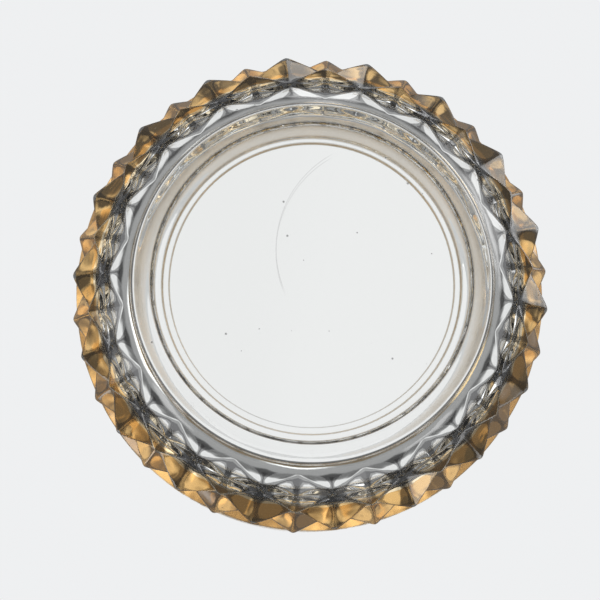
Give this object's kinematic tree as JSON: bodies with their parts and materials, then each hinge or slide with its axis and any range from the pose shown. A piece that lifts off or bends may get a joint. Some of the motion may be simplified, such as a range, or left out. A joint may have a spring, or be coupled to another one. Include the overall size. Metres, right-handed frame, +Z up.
{
  "type": "double old fashioned glass",
  "caption": "Heavy pressed glass tumbler on a low foot ring, raised diamonds round its lower wall, and a wide fired gold band round its plain upper wall.",
  "frame": {"origin": "centre of the plane that the foot ring stands on", "axes": "+Z up the glass's axis of symmetry, towards the mouth; +X through the lowest point of one diamond of the bottom row"},
  "size_m": [0.0922, 0.0914, 0.092],
  "materials": {
    "clear_glass": "pressed and fire polished, lightly scratched on the foot",
    "fired_gold": "thin fired bright gold, slightly worn at its edges"
  },
  "bodies": {
    "root": {"glass_body": "clear_glass", "gold_band": "fired_gold"}
  },
  "joints": []
}
